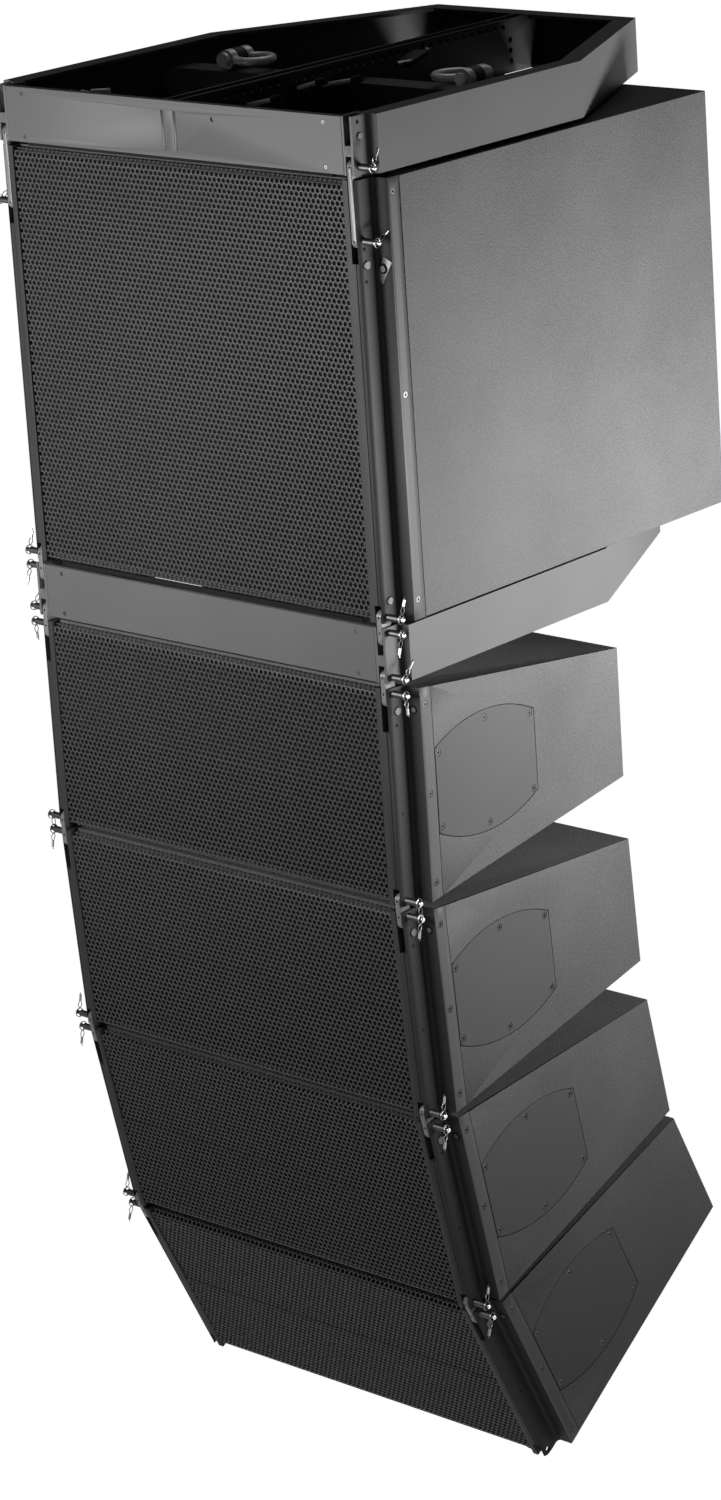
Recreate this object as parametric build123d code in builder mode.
from build123d import *
import os

# Flown line array: a hexagonal flying frame, one subwoofer cabinet, an adapter
# frame and four wedge-shaped top cabinets hung in a curve by pinned front links
# and rear splay links. Millimetres, +Z up, the front faces -Y.
# The origin is the axis of one hole of the frame's centre beam, where a hoist
# fitting is pinned.
# Every unit is drawn in its own frame: x across, y back from the front face,
# z down from its top edge. It is then placed by its unit location.

os.makedirs("parts", exist_ok=True)

# Cabinets
half_width = 350.0
top_height = 303.0
top_depth = 447.0
wedge_start = 15.0
top_rear_drop = 58.2
sub_height = 589.0
sub_depth = 702.0
frame_height = 77.0
adapter_height = 76.0
frame_to_sub = 6.0
sub_to_adapter = 6.0
unit_gap = 7.5
splay_angles = (0.0, 4.0, 8.0, 14.0)

# Front corner fitting: rail, channel and screwed flange
rail_in = 302.0
rail_out = 325.0
rail_round = 8.0
channel_back = 33.0
fitting_sheet = 3.0
flange_back = 55.0
panel_start = 55.8
seam = 0.3
slot_in = 311.0
slot_out = 321.0
slot_back = 24.0
groove_width = 1.4
groove_depth = 0.9

# Ball-lock pins and the links that they hold
pin_depth = 10.0
pin_end = 7.5
pin_r = 4.0
pin_hole_r = 4.06
pin_tip = 301.8
neck_r = 5.0
knob_r = 7.2
knob_tip = 353.0
knob_length = 8.0
knob_taper = 7.0
splay_neck = 9.0
splay_knob_taper = 4.0
pin_chamfer = 1.0
link_in = 312.0
link_out = 320.0
link_r = 9.5
link_tail = 19.0
top_slot = 60.0
bottom_slot = 24.0
frame_pin_drop = 66.0
sub_pin_drop = 80.0
sub_slot = 109.0

# Wooden boxes
front_edge = 14.5
top_wall = 15.0
sub_wall = 18.0
baffle_front = 40.0
woofer_x = 180.0
woofer_r = 92.0
sub_woofer_r = 212.0
rear_woofer_r = 138.0
rear_woofer_drop = 210.0
rear_recess = 40.0
rear_window_x = 190.0
rear_window_z = 175.0
rear_window_gap = 1.0
rear_grille_round = 6.0
rear_grille_sunk = 2.0
port_x = 250.0
port_length = 420.0
port_width = 46.0

# Connector panels
top_panel_x = 170.0
top_panel_half = (60.0, 45.0)
top_panel_depth = 8.0
panel_sunk = 20.0
panel_drop = 475.0
panel_half = (95.0, 45.0)
panel_thick = 2.0
panel_gap = 1.0
panel_seat = 0.2
socket_x = (-50.0, 0.0, 50.0)
socket_r = 16.0
socket_bore_r = 12.0
socket_length = 9.0

# Drivers and the horn
flange_thick = 5.0
sub_flange = 18.0
sub_driver_depth = 190.0
sub_magnet_r = 105.0
rear_flange = 14.0
rear_driver_depth = 130.0
rear_magnet_r = 75.0
top_flange = 9.0
top_driver_depth = 105.0
top_magnet_r = 62.0
horn_mouth = (140.0, 262.0)
horn_throat = (34.0, 190.0)
horn_wall = 6.0
horn_gap = 1.0
horn_lip = 5.0
horn_depth = 110.0
horn_driver_r = 44.0
horn_driver_rise = 48.0
horn_driver_start = 106.0
horn_driver_depth = 52.0

# Grilles
grille_half = 301.5
grille_sheet = 1.5
grille_margin = 3.5
grille_bend = 8.0
grille_lip = 13.5

# Side covers, countersunk screws
cover_depth = 3.8
cover_gap = 1.0
cover_seat = 0.2
cover_corner = (261.7, 56.8)
cover_crown = (165.0, 84.0)
cover_foot = (56.8, 59.0)
cover_screws = ((63.0, 51.6), (159.0, 73.6), (253.0, 53.6))
head_r = 5.0
head_depth = 2.8
shank_r = 2.5
shank_length = 11.0
play = 0.1
strip_screw_y = 43.0
strip_screw_rise = 124.0
sub_screw_drops = (19.0, 286.5, 562.0)
screw_gap = 0.5

# Rear splay links
splay_y = 420.0
splay_drop = 80.0
trunnion_r = 6.0
trunnion_half = 12.0
trunnion_play = 0.05
trunnion_gap = 0.5
splay_half = 13.0
splay_thick = 4.0
splay_track = 5.6
splay_slot = 7.5
splay_slot_front = 388.0
divider_half = 22.0
divider_wall = 20.0
splay_pin_tip = 15.0
splay_pin_drop = 226.0
adapter_splay_drop = 60.0
splay_travel = 14.0
adapter_travel = 6.0
splay_leans = (0.0, 1.6, 3.0, 4.1)
pocket_side = 80.0
pocket_wall = 6.0
pocket_front = 392.0
pocket_half = 28.0

# Flying frame and adapter frame
frame_side = 341.0
frame_front = 2.2
side_start = 30.0
side_end = 444.0
rear_half = 184.0
rear_end = 764.0
wall = 6.0
lip = 30.0
lip_thick = 5.0
bracket_in = 306.8
plate_half = 306.5
plate_thick = 2.0
plate_screw_x = 275.0
plate_screw_r = 3.0
plate_screw_length = 1.7
frame_screw_drops = (10.0, 68.5)
adapter_screw_drops = (10.0, 67.5)
sight_hole = (80.0, -20.0)
sight_hole_r = 3.5
beam_in = 9.0
beam_out = 13.0
hole_first = 98.5
hole_pitch = 17.5
hole_count = 34
hoist_hole = 14
beam_hole_r = 4.25
beam_hole_drop = 10.0
tail_hole_y = 690.0
tail_hole_drops = (30.0, 45.0, 60.0)
spacer_y = (60.0, 230.0, 480.0, 640.0)
spacer_drop = 45.0
spacer_r = 8.0
tab_top = 14.0
tab_bottom = 10.0
tab_gap = 0.2
frame_slot_top = 38.0
frame_slot_bottom = 25.0
tube_wall = 4.0
cross_front = 336.0
cross_back = 379.0
cross_drop = 31.0

# Bow shackles
shackle_x = 218.0
shackle_y = 0.5 * (cross_front + cross_back) + 9.0
shackle_drop = 16.0
bow_r = 6.0
bow_leg = 8.0
bow_neck = 20.0
bow_middle = 35.0
bow_round = 25.0
ear_r = 14.0
ear_gap = 10.0
ear_thick = 12.0
shackle_pin_r = 8.0
shackle_hole_r = 8.06
shackle_head_r = 11.0
shackle_head = 8.0
shackle_nut_r = 10.0
shackle_nut = 6.0
shackle_gap = 0.3
lug_half = 8.5

wedge = top_rear_drop / (top_depth - wedge_start)
pivot_rise = unit_gap + pin_end
hoist_depth = hole_first + hoist_hole * hole_pitch
origin = (0.0, -hoist_depth, beam_hole_drop)


def down(unit, drop, back=0.0, angle=0.0):
    """The unit location that hangs below another one, turned about its own X."""
    return unit * Location((0, back, -drop)) * Location((0, 0, 0), (angle, 0, 0))


frame_at = Location(origin)
sub_at = down(frame_at, frame_height + frame_to_sub)
adapter_at = down(sub_at, sub_height + sub_to_adapter)

# Each top turns about the upper pins of its front links, which sit pin_end
# above the bottom edge of the unit it hangs from.
top_at = []
above, above_height = adapter_at, adapter_height
for angle in splay_angles:
    pivot = down(above, above_height - pin_end, pin_depth, angle)
    top_at.append(down(pivot, pivot_rise, -pin_depth))
    above, above_height = top_at[-1], top_height


def save(name, unit, *pieces):
    """Places finished pieces at their unit and writes them as one node."""
    placed = [unit * piece for piece in pieces]
    node = placed[0] if len(placed) == 1 else Compound(children=placed)
    node.label = name
    export_step(node, f"parts/{name}.step")


def drill_x(y, z, radius, start, end):
    """Bores a hole along X between two distances from the middle, on both sides."""
    middle = (start + end) / 2
    for x in (-middle, middle):
        with Locations(Location((x, y, z), (0, 90, 0))):
            Cylinder(radius, end - start, mode=Mode.SUBTRACT)


def cut_box(x0, x1, y0, y1, z0, z1):
    """Removes the block between these limits."""
    with Locations(((x0 + x1) / 2, (y0 + y1) / 2, (z0 + z1) / 2)):
        Box(x1 - x0, y1 - y0, z1 - z0, mode=Mode.SUBTRACT)


# corner fittings


def make_fittings(height, upper_slot, lower_slot, pin_drops, screw_drops, slope=0.0):
    """The left and right corner fittings of one cabinet, their ends cut to its slope."""
    with BuildPart() as fittings:
        with BuildSketch(Plane.XY):
            with BuildLine():
                Polyline(
                    (rail_in, channel_back + fitting_sheet),
                    (rail_in, 0),
                    (rail_out - rail_round, 0),
                )
                RadiusArc(
                    (rail_out - rail_round, 0), (rail_out, rail_round), -rail_round
                )
                Polyline(
                    (rail_out, rail_round),
                    (rail_out, channel_back - wall),
                )
                RadiusArc(
                    (rail_out, channel_back - wall),
                    (rail_out + wall, channel_back),
                    wall,
                )
                Polyline(
                    (rail_out + wall, channel_back),
                    (half_width, channel_back),
                    (half_width, flange_back),
                    (half_width - fitting_sheet, flange_back),
                    (half_width - fitting_sheet, channel_back + fitting_sheet),
                    (rail_in, channel_back + fitting_sheet),
                )
            make_face()
        extrude(amount=-height)
        if slope:
            end = flange_back + 5
            fall = slope * (end - wedge_start)
            with BuildSketch(Plane.YZ.offset(rail_in - 1)):
                with BuildLine():
                    Polyline((wedge_start, 0), (end, -fall), (end, 1), (wedge_start, 0))
                make_face()
                mirror(about=Plane.XZ.offset(height / 2))
            extrude(amount=half_width - rail_in + 2, mode=Mode.SUBTRACT)
        cut_box(slot_in, slot_out, -1, slot_back, -upper_slot, 1)
        cut_box(slot_in, slot_out, -1, slot_back, -height - 1, lower_slot - height)
        groove = rail_out - rail_round
        cut_box(
            groove, groove + groove_width, -1, groove_depth, -height - 1, 1
        )
        mirror(about=Plane.YZ)
        for drop in pin_drops:
            drill_x(pin_depth, -drop, pin_hole_r, rail_in - 1, rail_out + 1)
        for drop in screw_drops:
            drill_x(
                strip_screw_y,
                -drop,
                head_r + play,
                half_width - fitting_sheet - 1,
                half_width + 1,
            )
    return fittings


# pins and links


def make_pins(drops, side):
    """The ball-lock pins on one side of a joint. side is 1 on the right."""
    knob_start = knob_tip - knob_length
    with BuildPart() as pins:
        for drop in drops:
            with BuildSketch(Plane.XY.offset(-drop)):
                with BuildLine():
                    Polyline(
                        (side * pin_tip, pin_depth),
                        (side * pin_tip, pin_depth + pin_r - pin_chamfer),
                        (side * (pin_tip + pin_chamfer), pin_depth + pin_r),
                        (side * (rail_out + seam), pin_depth + pin_r),
                        (side * (rail_out + seam), pin_depth + neck_r),
                        (side * (knob_start - knob_taper), pin_depth + neck_r),
                        (side * knob_start, pin_depth + knob_r),
                        (side * (knob_tip - pin_chamfer), pin_depth + knob_r),
                        (side * knob_tip, pin_depth + knob_r - pin_chamfer),
                        (side * knob_tip, pin_depth),
                        (side * pin_tip, pin_depth),
                    )
                make_face()
            revolve(axis=Axis((0, pin_depth, -drop), (1, 0, 0)))
    return pins


def make_links(pairs):
    """Front link plates, one each side for each (upper pin, lower pin, tail below)."""
    with BuildPart() as links:
        for upper, lower, tail in pairs:
            with BuildSketch(Plane.YZ.offset(link_in)):
                with Locations((pin_depth, -upper)):
                    Circle(link_r)
                end = lower + tail - link_r
                with Locations((pin_depth, -(upper + end) / 2)):
                    Rectangle(2 * link_r, end - upper)
                with Locations((pin_depth, -end)):
                    Circle(link_r)
                with Locations((pin_depth, -upper), (pin_depth, -lower)):
                    Circle(pin_hole_r, mode=Mode.SUBTRACT)
            extrude(amount=link_out - link_in)
        mirror(about=Plane.YZ)
    return links


# grille


def make_grille(height):
    """Front grille sheet with its top and bottom edges bent back."""
    outer_top = -grille_margin
    outer_bottom = grille_margin - height
    with BuildPart() as grille:
        with BuildSketch(Plane.YZ.offset(-grille_half)):
            with BuildLine():
                Polyline((grille_lip, outer_top), (grille_bend, outer_top))
                RadiusArc(
                    (grille_bend, outer_top),
                    (0, outer_top - grille_bend),
                    -grille_bend,
                )
                Line((0, outer_top - grille_bend), (0, outer_bottom + grille_bend))
                RadiusArc(
                    (0, outer_bottom + grille_bend),
                    (grille_bend, outer_bottom),
                    -grille_bend,
                )
                inner = grille_bend - grille_sheet
                Polyline(
                    (grille_bend, outer_bottom),
                    (grille_lip, outer_bottom),
                    (grille_lip, outer_bottom + grille_sheet),
                    (grille_bend, outer_bottom + grille_sheet),
                )
                RadiusArc(
                    (grille_bend, outer_bottom + grille_sheet),
                    (grille_sheet, outer_bottom + grille_bend),
                    inner,
                )
                Line(
                    (grille_sheet, outer_bottom + grille_bend),
                    (grille_sheet, outer_top - grille_bend),
                )
                RadiusArc(
                    (grille_sheet, outer_top - grille_bend),
                    (grille_bend, outer_top - grille_sheet),
                    inner,
                )
                Polyline(
                    (grille_bend, outer_top - grille_sheet),
                    (grille_lip, outer_top - grille_sheet),
                    (grille_lip, outer_top),
                )
            make_face()
        extrude(amount=2 * grille_half)
    return grille


# drivers


def add_driver(x, z, flange, hole, depth, magnet, face, facing=1):
    """One cone driver: basket flange, cone, magnet. facing is -1 at the back."""
    with BuildSketch(Plane.XY.offset(z)) as profile:
        with BuildLine():
            Polyline(
                (x, face + facing * 0.35 * depth),
                (x + 0.25 * hole, face + facing * 0.42 * depth),
                (x + 0.9 * hole, face + facing * 2),
                (x + 0.92 * hole, face - facing * flange_thick),
                (x + flange, face - facing * flange_thick),
                (x + flange, face - facing * panel_seat),
                (x + hole - 1, face - facing * panel_seat),
                (x + hole - 3, face + facing * 0.2 * depth),
                (x + magnet, face + facing * 0.62 * depth),
                (x + magnet, face + facing * depth),
                (x, face + facing * depth),
                (x, face + facing * 0.35 * depth),
            )
        make_face()
    revolve(profile.sketch, axis=Axis((x, 0, z), (0, 1, 0)))


with BuildPart() as sub_drivers:
    middle = -sub_height / 2
    add_driver(
        0,
        middle,
        sub_woofer_r + sub_flange,
        sub_woofer_r,
        sub_driver_depth,
        sub_magnet_r,
        baffle_front,
    )
    add_driver(
        0,
        -rear_woofer_drop,
        rear_woofer_r + rear_flange,
        rear_woofer_r,
        rear_driver_depth,
        rear_magnet_r,
        sub_depth - rear_recess,
        -1,
    )

with BuildPart() as top_drivers:
    middle = -top_height / 2
    for x in (-woofer_x, woofer_x):
        add_driver(
            x,
            middle,
            woofer_r + top_flange,
            woofer_r,
            top_driver_depth,
            top_magnet_r,
            baffle_front,
        )
    # the horn: its outside, then the hollow, with two drivers behind the throat
    with BuildSketch(Plane.XZ.offset(-baffle_front + horn_lip)):
        with Locations((0, middle)):
            Rectangle(*horn_mouth)
    with BuildSketch(Plane.XZ.offset(-baffle_front - horn_depth)):
        with Locations((0, middle)):
            Rectangle(*horn_throat)
    loft()
    with BuildSketch(Plane.XZ.offset(-baffle_front + horn_lip + 1)):
        with Locations((0, middle)):
            Rectangle(*[size - 2 * horn_wall for size in horn_mouth])
    with BuildSketch(Plane.XZ.offset(-baffle_front - horn_depth + horn_wall)):
        with Locations((0, middle)):
            Rectangle(*[size - 2 * horn_wall for size in horn_throat])
    loft(mode=Mode.SUBTRACT)
    with BuildSketch(Plane.XZ.offset(-baffle_front - horn_driver_start)):
        with Locations((0, middle + horn_driver_rise), (0, middle - horn_driver_rise)):
            Circle(horn_driver_r)
    extrude(amount=-horn_driver_depth)


# top cabinet

middle = -top_height / 2
strip_screws = [middle + strip_screw_rise, middle, middle - strip_screw_rise]


def side_outline(front, back, margin):
    """Side profile of the wedge between two depths, a margin inside its faces."""
    slope_front = wedge * (front - wedge_start)
    slope_back = wedge * (back - wedge_start)
    return [
        (front, -slope_front - margin),
        (back, -slope_back - margin),
        (back, slope_back + margin - top_height),
        (front, slope_front + margin - top_height),
        (front, -slope_front - margin),
    ]


def cover_outline(grow):
    """Barrel outline of the side cover, grown by a small gap."""
    corner, crown, foot = cover_corner, cover_crown, cover_foot
    upper = [(foot[0] - grow, middle + foot[1] + grow)]
    upper += [(crown[0], middle + crown[1] + grow)]
    upper += [(corner[0] + grow, middle + corner[1] + grow)]
    lower = [(y, 2 * middle - z) for y, z in upper]
    with BuildLine() as outline:
        ThreePointArc(*upper)
        Line(upper[2], lower[2])
        ThreePointArc(*reversed(lower))
        Line(lower[0], upper[0])
    make_face(outline.edges())


with BuildPart() as top_cabinet:
    with BuildSketch(Plane.YZ.offset(-half_width)):
        with BuildLine():
            Polyline(
                (front_edge, 0),
                (wedge_start, 0),
                (top_depth, -top_rear_drop),
                (top_depth, top_rear_drop - top_height),
                (wedge_start, -top_height),
                (front_edge, -top_height),
                (front_edge, 0),
            )
        make_face()
    extrude(amount=2 * half_width)
    back_of_fitting = channel_back + fitting_sheet + seam
    for side in (-1, 1):
        low, high = sorted((side * (rail_in - seam), side * (half_width + 1)))
        cut_box(low, high, 0, back_of_fitting, -top_height - 1, 1)
        skin = half_width - fitting_sheet - seam
        low, high = sorted((side * skin, side * (half_width + 1)))
        cut_box(low, high, 0, panel_start, -top_height - 1, 1)
    # the front recess for grille and baffle, then the chamber behind the baffle
    recess = rail_in - seam - top_wall
    cut_box(-recess, recess, 0, baffle_front, top_wall - top_height, -top_wall)
    chamber = half_width - top_wall
    with BuildSketch(Plane.YZ.offset(-chamber)):
        with BuildLine():
            Polyline(
                *side_outline(baffle_front + top_wall, top_depth - top_wall, top_wall)
            )
        make_face()
    extrude(amount=2 * chamber, mode=Mode.SUBTRACT)
    with BuildSketch(Plane.YZ.offset(-divider_half)):
        with BuildLine():
            Polyline(*side_outline(splay_slot_front - divider_wall, top_depth - 1, 1))
        make_face()
    extrude(amount=2 * divider_half)
    # walled pocket in the back for the splay pin's knob
    with Locations((pocket_side / 2, (pocket_front + top_depth) / 2, -splay_pin_drop)):
        Box(
            pocket_side + 2 * pocket_wall,
            top_depth - pocket_front + pocket_wall,
            2 * (pocket_half + pocket_wall),
        )
    cut_box(
        divider_half,
        pocket_side,
        pocket_front,
        top_depth + 10,
        -splay_pin_drop - pocket_half,
        pocket_half - splay_pin_drop,
    )
    cut_box(
        -splay_slot, splay_slot, splay_slot_front, top_depth + 1, -top_height, 0
    )
    trunnion_bore = trunnion_r + trunnion_play
    drill_x(splay_y, -splay_drop, trunnion_bore, 0, trunnion_half + trunnion_gap)
    drill_x(splay_y, -splay_pin_drop, pin_hole_r, 0, divider_half + 1)
    # openings in the baffle
    with BuildSketch(Plane.XZ.offset(-baffle_front - top_wall - 1)):
        with Locations((woofer_x, middle), (-woofer_x, middle)):
            Circle(woofer_r)
        with Locations((0, middle)):
            Rectangle(*[size + 2 * horn_gap for size in horn_mouth])
    extrude(amount=top_wall + 3, mode=Mode.SUBTRACT)
    # seats of the side covers, and the screw holes
    for side in (-1, 1):
        with BuildSketch(Plane.YZ.offset(side * (half_width + 1))):
            cover_outline(cover_gap)
        extrude(amount=-side * (1 + cover_depth + cover_seat), mode=Mode.SUBTRACT)
    for y, rise in cover_screws:
        for z in (middle + rise, middle - rise):
            start = half_width - cover_depth - shank_length
            drill_x(y, z, shank_r + play, start, half_width)
    for z in strip_screws:
        start = half_width - head_depth - shank_length
        drill_x(strip_screw_y, z, shank_r + play, start, half_width)
    # recessed connector plate in the back
    cut_box(
        top_panel_x - top_panel_half[0],
        top_panel_x + top_panel_half[0],
        top_depth - top_panel_depth,
        top_depth + 1,
        middle - top_panel_half[1],
        middle + top_panel_half[1],
    )

with BuildPart() as side_covers:
    for side in (-1, 1):
        with BuildSketch(Plane.YZ.offset(side * half_width)):
            cover_outline(0)
        extrude(amount=-side * cover_depth)
    for y, rise in cover_screws:
        for z in (middle + rise, middle - rise):
            drill_x(y, z, head_r + play, half_width - 5, half_width + 1)


def add_screw(y, z, side):
    """A countersunk screw with its head flush in the side face."""
    tip = head_depth + shank_length - screw_gap
    for start, end, radius in ((0, head_depth, head_r), (head_depth, tip, shank_r)):
        x = side * (half_width - (start + end) / 2)
        with Locations(Location((x, y, z), (0, 90, 0))):
            Cylinder(radius, end - start)


with BuildPart() as top_screws:
    for side in (-1, 1):
        for z in strip_screws:
            add_screw(strip_screw_y, z, side)
        for y, rise in cover_screws:
            for z in (middle + rise, middle - rise):
                add_screw(y, z, side)


def splay_reach(angle, pin_rise, lean):
    """Height of the splay pin above the trunnion, along a link leaning back by lean."""
    turned = Vector(0, splay_y - pin_depth, pin_rise).rotate(Axis.X, -angle)
    from_trunnion = turned - Vector(0, splay_y - pin_depth, -splay_drop - pivot_rise)
    return from_trunnion.dot(Vector(0, 0, 1).rotate(Axis.X, -lean))


def make_splay_link(highest, lowest, lean):
    """Rear link: a bar on a trunnion, slotted for the pin's travel and leaning back."""
    bar = Plane(
        origin=(-splay_thick, splay_y, -splay_drop),
        x_dir=Vector(0, 1, 0).rotate(Axis.X, -lean),
        z_dir=(1, 0, 0),
    )
    with BuildPart() as link:
        with BuildSketch(bar):
            with Locations((0, highest / 2)):
                SlotCenterToCenter(highest, 2 * splay_half, rotation=90)
            with Locations((0, (highest + lowest) / 2)):
                SlotCenterToCenter(
                    highest - lowest,
                    2 * splay_track,
                    rotation=90,
                    mode=Mode.SUBTRACT,
                )
        extrude(amount=2 * splay_thick)
        with BuildSketch(Plane.YZ.offset(-trunnion_half)):
            with Locations((splay_y, -splay_drop)):
                Circle(trunnion_r)
        extrude(amount=2 * trunnion_half)
    return link


def make_splay_pin(drop):
    """The ball-lock pin that runs in a rear link's slot, its knob on the right."""
    shoulder = divider_half + 1
    neck_end = divider_half + splay_neck
    knob_start = neck_end + splay_knob_taper
    knob_end = knob_start + knob_length
    with BuildPart() as pin:
        with BuildSketch(Plane.XY.offset(-drop)):
            with BuildLine():
                Polyline(
                    (-splay_pin_tip, splay_y),
                    (-splay_pin_tip, splay_y + pin_r - pin_chamfer),
                    (pin_chamfer - splay_pin_tip, splay_y + pin_r),
                    (shoulder, splay_y + pin_r),
                    (shoulder, splay_y + neck_r),
                    (neck_end, splay_y + neck_r),
                    (knob_start, splay_y + knob_r),
                    (knob_end, splay_y + knob_r),
                    (knob_end + pin_chamfer, splay_y + knob_r - pin_chamfer),
                    (knob_end + pin_chamfer, splay_y),
                    (-splay_pin_tip, splay_y),
                )
            make_face()
        revolve(axis=Axis((0, splay_y, -drop), (1, 0, 0)))
    return pin


# subwoofer cabinet

rear_seat = sub_depth - rear_recess
panel_front = rear_seat + panel_sunk

with BuildPart() as sub_cabinet:
    with BuildSketch(Plane.XY):
        with Locations((0, (front_edge + sub_depth) / 2)):
            Rectangle(2 * half_width, sub_depth - front_edge)
    extrude(amount=-sub_height)
    for side in (-1, 1):
        low, high = sorted((side * (rail_in - seam), side * (half_width + 1)))
        cut_box(low, high, 0, back_of_fitting, -sub_height - 1, 1)
        low, high = sorted((side * skin, side * (half_width + 1)))
        cut_box(low, high, 0, panel_start, -sub_height - 1, 1)
    recess = rail_in - seam - sub_wall
    cut_box(-recess, recess, 0, baffle_front, sub_wall - sub_height, -sub_wall)
    chamber = half_width - sub_wall
    cut_box(
        -chamber,
        chamber,
        baffle_front + sub_wall,
        rear_seat - sub_wall,
        sub_wall - sub_height,
        -sub_wall,
    )
    # the rear woofer sits in a recess behind its own grille
    cut_box(
        -rear_window_x,
        rear_window_x,
        rear_seat,
        sub_depth + 1,
        -rear_woofer_drop - rear_window_z,
        -rear_woofer_drop + rear_window_z,
    )
    with BuildSketch(Plane.XZ.offset(-baffle_front - sub_wall - 1)):
        with Locations((0, -sub_height / 2)):
            Circle(sub_woofer_r)
        with Locations((port_x, -sub_height / 2), (-port_x, -sub_height / 2)):
            SlotOverall(port_length, port_width, rotation=90)
    extrude(amount=sub_wall + 3, mode=Mode.SUBTRACT)
    with BuildSketch(Plane.XZ.offset(-rear_seat - 1)):
        with Locations((0, -rear_woofer_drop)):
            Circle(rear_woofer_r)
    extrude(amount=sub_wall + 3, mode=Mode.SUBTRACT)
    # recess of the connector panel
    cut_box(
        -panel_half[0],
        panel_half[0],
        panel_front,
        sub_depth + 1,
        -panel_drop - panel_half[1],
        -panel_drop + panel_half[1],
    )
    for drop in sub_screw_drops:
        start = half_width - head_depth - shank_length
        drill_x(strip_screw_y, -drop, shank_r + play, start, half_width)

with BuildPart() as rear_grille:
    with BuildSketch(Plane.XZ.offset(-sub_depth + rear_grille_sunk)):
        with Locations((0, -rear_woofer_drop)):
            RectangleRounded(
                2 * (rear_window_x - rear_window_gap),
                2 * (rear_window_z - rear_window_gap),
                rear_grille_round,
            )
    extrude(amount=-grille_sheet)

with BuildPart() as sub_connector_panel:
    with BuildSketch(Plane.XZ.offset(-panel_front - panel_seat)):
        with Locations((0, -panel_drop)):
            Rectangle(*[2 * (half - panel_gap) for half in panel_half])
    extrude(amount=-panel_thick)
    for radius, mode in ((socket_r, Mode.ADD), (socket_bore_r, Mode.SUBTRACT)):
        with BuildSketch(Plane.XZ.offset(-panel_front - panel_seat - panel_thick)):
            with Locations(*[(x, -panel_drop) for x in socket_x]):
                Circle(radius)
        extrude(amount=-socket_length, mode=mode)


# steel frames


def frame_outline():
    """Outer hexagon with the recessed front corners."""
    with BuildLine() as outline:
        Polyline(
            (0, frame_front),
            (rail_out - rail_round, frame_front),
            (rail_out, frame_front + rail_round),
            (rail_out, side_start),
            (frame_side, side_start),
            (frame_side, side_end),
            (rear_half, rear_end),
            (0, rear_end),
        )
        mirror(about=Plane.YZ)
    make_face(outline.edges())


def inner_outline(inset, front):
    """The hexagon inside the walls, inset from the sides and the rear."""
    rear = rear_end - inset
    corner = rear_half - 0.6 * inset
    with BuildLine() as outline:
        Polyline(
            (0, front),
            (bracket_in - 5, front),
            (bracket_in - 5, side_start + wall),
            (frame_side - inset, side_start + wall),
            (frame_side - inset, side_end - 0.2 * inset),
            (corner, rear),
            (0, rear),
        )
        mirror(about=Plane.YZ)
    make_face(outline.edges(), mode=Mode.SUBTRACT)


def add_frame(height, upper_slot, lower_slot, pin_drops):
    """Walls, lips and corner brackets of a frame, as one welded piece."""
    with BuildSketch(Plane.XY) as walls:
        frame_outline()
        inner_outline(wall, frame_front + wall)
    extrude(walls.sketch, amount=-height)
    for z in (0, lip_thick - height):
        with BuildSketch(Plane.XY.offset(z)) as ring:
            frame_outline()
            inner_outline(lip, frame_front + wall)
        extrude(ring.sketch, amount=-lip_thick)
    # corner brackets carry on the line of the cabinets' rails
    for side in (-1, 1):
        middle = side * (bracket_in + rail_out) / 2
        with Locations((middle, side_start / 2, -height / 2)):
            Box(rail_out - bracket_in, side_start, height)
        low, high = sorted((side * slot_in, side * slot_out))
        cut_box(low, high, -1, slot_back, -upper_slot, 1)
        cut_box(low, high, -1, slot_back, -height - 1, lower_slot - height)
    for drop in pin_drops:
        drill_x(pin_depth, -drop, pin_hole_r, bracket_in - wall, rail_out + 1)


def beam_outline(height, tab):
    """Side outline of a centre plate, with tabs into the front and rear walls."""
    with BuildLine() as outline:
        Polyline(
            (frame_front + wall, 0),
            (rear_end - lip - seam, 0),
            (rear_end - lip - seam, -lip_thick - 2),
            (rear_end - wall, -lip_thick - 2),
            (rear_end - wall, lip_thick + 2 - height),
            (rear_end - lip - seam, lip_thick + 2 - height),
            (rear_end - lip - seam, -height),
            (frame_front + wall, -height),
            (frame_front + wall, tab_bottom - height),
            (tab, tab_bottom - height),
            (tab, -tab_top),
            (frame_front + wall, -tab_top),
            (frame_front + wall, 0),
        )
    make_face(outline.edges())


def plate_screw_holes(drops):
    """The screw holes of a front plate, cut from the current sketch."""
    for drop in drops:
        with Locations((-plate_screw_x, -drop), (plate_screw_x, -drop)):
            Circle(plate_screw_r + play, mode=Mode.SUBTRACT)


beam_middle = (beam_in + beam_out) / 2
tab_half = (beam_out - beam_in) / 2 + tab_gap

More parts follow.
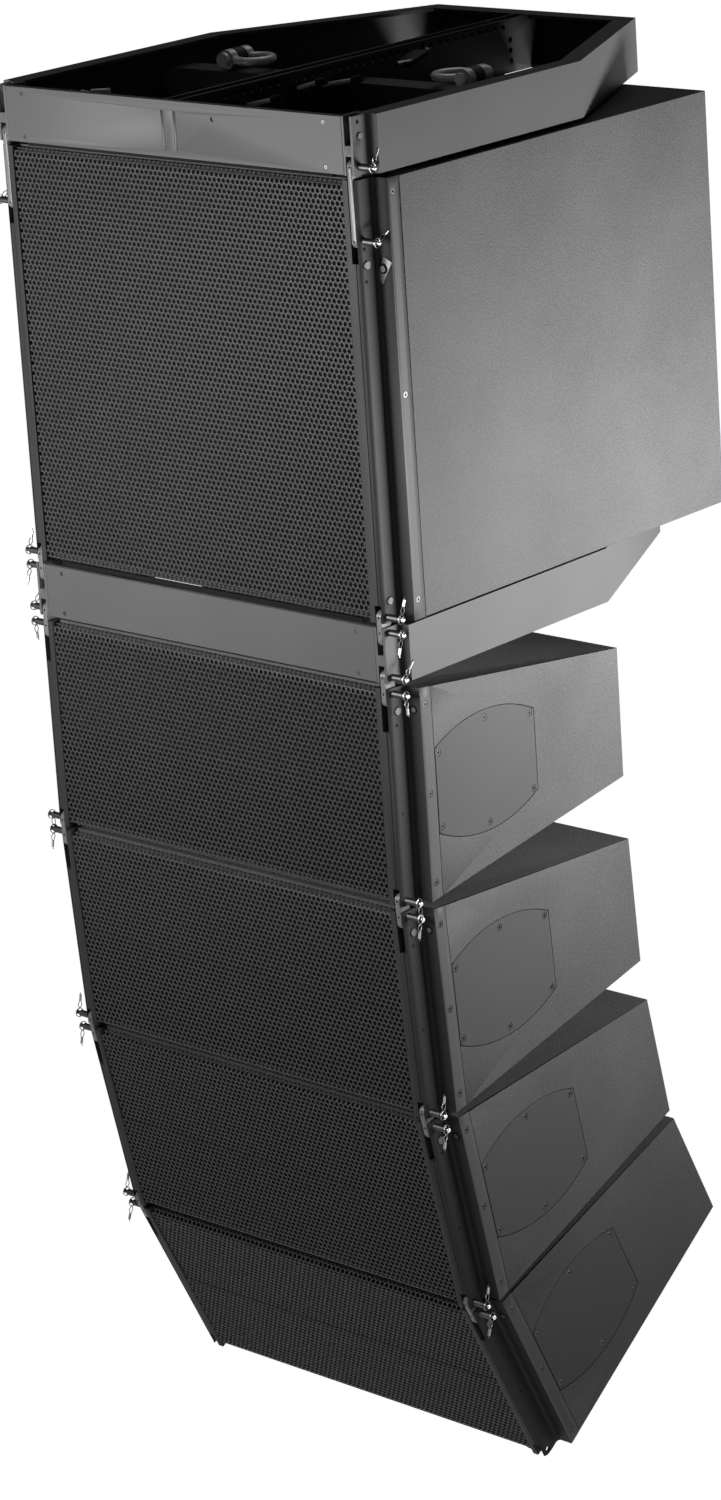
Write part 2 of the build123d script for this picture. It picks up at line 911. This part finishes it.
with BuildPart() as flying_frame:
    add_frame(frame_height, frame_slot_top, frame_slot_bottom, [frame_pin_drop])
    # cross tubes from the side walls to the centre beam
    tube_middle = (cross_front + cross_back) / 2
    tube_drop = (cross_drop + frame_height - lip_thick) / 2
    tube_height = frame_height - lip_thick - cross_drop
    for side in (-1, 1):
        with BuildSketch(Plane.YZ.offset(side * (beam_out + tab_gap))):
            with Locations((tube_middle, -tube_drop)):
                Rectangle(cross_back - cross_front, tube_height)
                Rectangle(
                    cross_back - cross_front - 2 * tube_wall,
                    tube_height - 2 * tube_wall,
                    mode=Mode.SUBTRACT,
                )
        extrude(amount=side * (frame_side - wall - beam_out))
        # shackle lug standing on the cross tube
        with BuildSketch(Plane.XZ.offset(-shackle_y + lug_half)):
            with Locations((side * shackle_x, -(shackle_drop + cross_drop + 1) / 2)):
                Rectangle(2 * ear_r, cross_drop + 1 - shackle_drop)
            with Locations((side * shackle_x, -shackle_drop)):
                Circle(ear_r)
                Circle(shackle_hole_r, mode=Mode.SUBTRACT)
        extrude(amount=-2 * lug_half)
    # windows in the front wall for the tabs of the centre beam
    for x in (-beam_middle, beam_middle):
        cut_box(
            x - tab_half,
            x + tab_half,
            -1,
            frame_front + wall + 0.1,
            tab_bottom - tab_gap - frame_height,
            tab_gap - tab_top,
        )

with BuildPart() as frame_front_plate:
    with BuildSketch(Plane.XZ.offset(-plate_thick)):
        with Locations((0, -frame_height / 2)):
            Rectangle(2 * plate_half, frame_height - 1)
        tab_middle = (tab_bottom - frame_height - tab_top) / 2
        with Locations((-beam_middle, tab_middle), (beam_middle, tab_middle)):
            tab_height = frame_height - tab_bottom - tab_top + 2 * tab_gap
            Rectangle(2 * tab_half, tab_height, mode=Mode.SUBTRACT)
        plate_screw_holes(frame_screw_drops)
        with Locations(sight_hole):
            Circle(sight_hole_r, mode=Mode.SUBTRACT)
    extrude(amount=plate_thick)

with BuildPart() as frame_beam:
    for x in (-beam_out, beam_in):
        with BuildSketch(Plane.YZ.offset(x)):
            beam_outline(frame_height, tab_gap)
            with Locations(
                *[(hole_first + hole_pitch * i, -beam_hole_drop) for i in range(hole_count)]
            ):
                Circle(beam_hole_r, mode=Mode.SUBTRACT)
            with Locations(*[(tail_hole_y, -drop) for drop in tail_hole_drops]):
                Circle(beam_hole_r, mode=Mode.SUBTRACT)
        extrude(amount=beam_out - beam_in)
    with BuildSketch(Plane.YZ.offset(-beam_in)):
        with Locations(*[(y, -spacer_drop) for y in spacer_y]):
            Circle(spacer_r)
    extrude(amount=2 * beam_in)

with BuildPart() as adapter_frame:
    adapter_pin_drops = (pin_end, adapter_height - pin_end)
    add_frame(adapter_height, frame_slot_top, bottom_slot, adapter_pin_drops)
    for x in (-beam_out, beam_in):
        with BuildSketch(Plane.YZ.offset(x)):
            beam_outline(adapter_height, frame_front + 1)
            with Locations((splay_y, -adapter_splay_drop)):
                Circle(pin_hole_r, mode=Mode.SUBTRACT)
        extrude(amount=beam_out - beam_in)

with BuildPart() as adapter_front_plate:
    with BuildSketch(Plane.XZ.offset(-plate_thick)):
        with Locations((0, -adapter_height / 2)):
            Rectangle(2 * plate_half, adapter_height - 1)
        plate_screw_holes(adapter_screw_drops)
    extrude(amount=plate_thick)


def add_plate_screws(drops, shift):
    """The four screws of a front plate whose top edge is at shift."""
    for drop in drops:
        for x in (-plate_screw_x, plate_screw_x):
            middle = plate_thick - 0.1 - plate_screw_length / 2
            with Locations(Location((x, middle, shift - drop), (90, 0, 0))):
                Cylinder(plate_screw_r, plate_screw_length)


with BuildPart() as rig_screws:
    for side in (-1, 1):
        for drop in sub_screw_drops:
            add_screw(strip_screw_y, -drop, side)
    add_plate_screws(frame_screw_drops, frame_height + frame_to_sub)
    add_plate_screws(adapter_screw_drops, -sub_height - sub_to_adapter)


# shackles


def make_bow(side):
    """A bow shackle lying flat, its pin along Y and its bow towards the middle."""
    inward = -side
    outer = ear_gap + ear_thick
    leg = ear_gap + ear_thick / 2

    def spot(along, across):
        return (side * shackle_x + inward * along, shackle_y + across, -shackle_drop)

    with BuildPart() as bow:
        with BuildLine() as path:
            Line(spot(0, -leg), spot(bow_leg, -leg))
            TangentArc(
                spot(bow_leg, -leg), spot(bow_neck, -bow_neck), tangent=(inward, 0, 0)
            )
            ThreePointArc(
                spot(bow_neck, -bow_neck),
                spot(bow_middle + bow_round, 0),
                spot(bow_neck, bow_neck),
            )
            TangentArc(
                spot(bow_neck, bow_neck),
                spot(bow_leg, leg),
                tangent=(inward, 0, 0),
                tangent_from_first=False,
            )
            Line(spot(bow_leg, leg), spot(0, leg))
        with BuildSketch(Plane(origin=spot(0, -leg), z_dir=(inward, 0, 0))):
            Circle(bow_r)
        sweep(path=path.wires()[0])
        for y in (shackle_y - outer, shackle_y + ear_gap):
            with BuildSketch(Plane.XZ.offset(-y)):
                with Locations((side * shackle_x, -shackle_drop)):
                    Circle(ear_r)
            extrude(amount=-ear_thick)
        with BuildSketch(Plane.XZ.offset(-shackle_y + outer + 1)):
            with Locations((side * shackle_x, -shackle_drop)):
                Circle(shackle_hole_r)
        extrude(amount=-2 * outer - 2, mode=Mode.SUBTRACT)
    return bow


with BuildPart() as shackle_pins:
    reach = ear_gap + ear_thick + shackle_gap
    # the left pin's head faces the front, the right pin's head faces the rear
    for side in (-1, 1):
        with BuildSketch(Plane.XZ.offset(-shackle_y + reach)):
            with Locations((side * shackle_x, -shackle_drop)):
                Circle(shackle_pin_r)
        extrude(amount=-2 * reach)
        with BuildSketch(Plane.XZ.offset(-shackle_y - side * reach)):
            with Locations((side * shackle_x, -shackle_drop)):
                Circle(shackle_head_r)
        extrude(amount=-side * shackle_head)
        with BuildSketch(Plane.XZ.offset(-shackle_y + side * reach)):
            with Locations((side * shackle_x, -shackle_drop)):
                RegularPolygon(shackle_nut_r, 6)
        extrude(amount=side * shackle_nut)


# writing the parts

adapter_shift = Location((0, 0, -frame_height - frame_to_sub - sub_height - sub_to_adapter))
save("flying_frame", frame_at, flying_frame.part)
save(
    "front_plates",
    frame_at,
    frame_front_plate.part,
    adapter_shift * adapter_front_plate.part,
)
save("frame_beam", frame_at, frame_beam.part)
save("shackle_pins", frame_at, shackle_pins.part)
save("shackle_bow_left", frame_at, make_bow(-1).part)
save("shackle_bow_right", frame_at, make_bow(1).part)

frame_link = (frame_pin_drop - frame_height - frame_to_sub, sub_pin_drop, link_r)
adapter_link = (sub_height - pin_end, sub_height + sub_to_adapter + pin_end, link_tail)
rig_links = make_links([frame_link, adapter_link])
sub_fittings = make_fittings(
    sub_height,
    sub_slot,
    bottom_slot,
    [sub_pin_drop, sub_height - pin_end],
    sub_screw_drops,
)
save("sub_cabinet", sub_at, sub_cabinet.part)
save("sub_grilles", sub_at, make_grille(sub_height).part, rear_grille.part)
save("sub_fittings", sub_at, sub_fittings.part)
save("sub_drivers", sub_at, sub_drivers.part)
save("sub_connector_panel", sub_at, sub_connector_panel.part)
save("rig_screws", sub_at, rig_screws.part)
save("rig_links", sub_at, rig_links.part)
save("adapter_frame", adapter_at, adapter_frame.part)

sides = ((-1, "left"), (1, "right"))
rig_pin_drops = frame_link[:2] + adapter_link[:2]
for side, word in sides:
    save(f"rig_pins_{word}", sub_at, make_pins(rig_pin_drops, side).part)

top_fittings = make_fittings(
    top_height,
    top_slot,
    bottom_slot,
    [pin_end, top_height - pin_end],
    [-z for z in strip_screws],
    wedge,
)
top_grille = make_grille(top_height)
top_pin_drops = (-pivot_rise, pin_end)
top_links = make_links([top_pin_drops + (link_tail,)])
units_above = [adapter_at] + top_at[:-1]
for number, unit in enumerate(top_at, start=1):
    if number == 1:
        pin_drop, travel = adapter_splay_drop, adapter_travel
        pin_rise = adapter_height - pin_end - pin_drop
    else:
        pin_drop, travel = splay_pin_drop, splay_travel
        pin_rise = top_height - pin_end - pin_drop
    lean = splay_leans[number - 1]
    highest = splay_reach(0, pin_rise, 0)
    lowest = splay_reach(travel, pin_rise, lean)
    save(f"top{number}_cabinet", unit, top_cabinet.part)
    save(f"top{number}_grille", unit, top_grille.part)
    save(f"top{number}_fittings", unit, top_fittings.part)
    save(f"top{number}_side_covers", unit, side_covers.part)
    save(f"top{number}_screws", unit, top_screws.part)
    save(f"top{number}_drivers", unit, top_drivers.part)
    save(f"top{number}_front_links", unit, top_links.part)
    save(f"top{number}_splay_link", unit, make_splay_link(highest, lowest, lean).part)
    splay_pin = make_splay_pin(pin_drop)
    save(f"top{number}_splay_pin", units_above[number - 1], splay_pin.part)
    for side, word in sides:
        save(f"top{number}_pins_{word}", unit, make_pins(top_pin_drops, side).part)
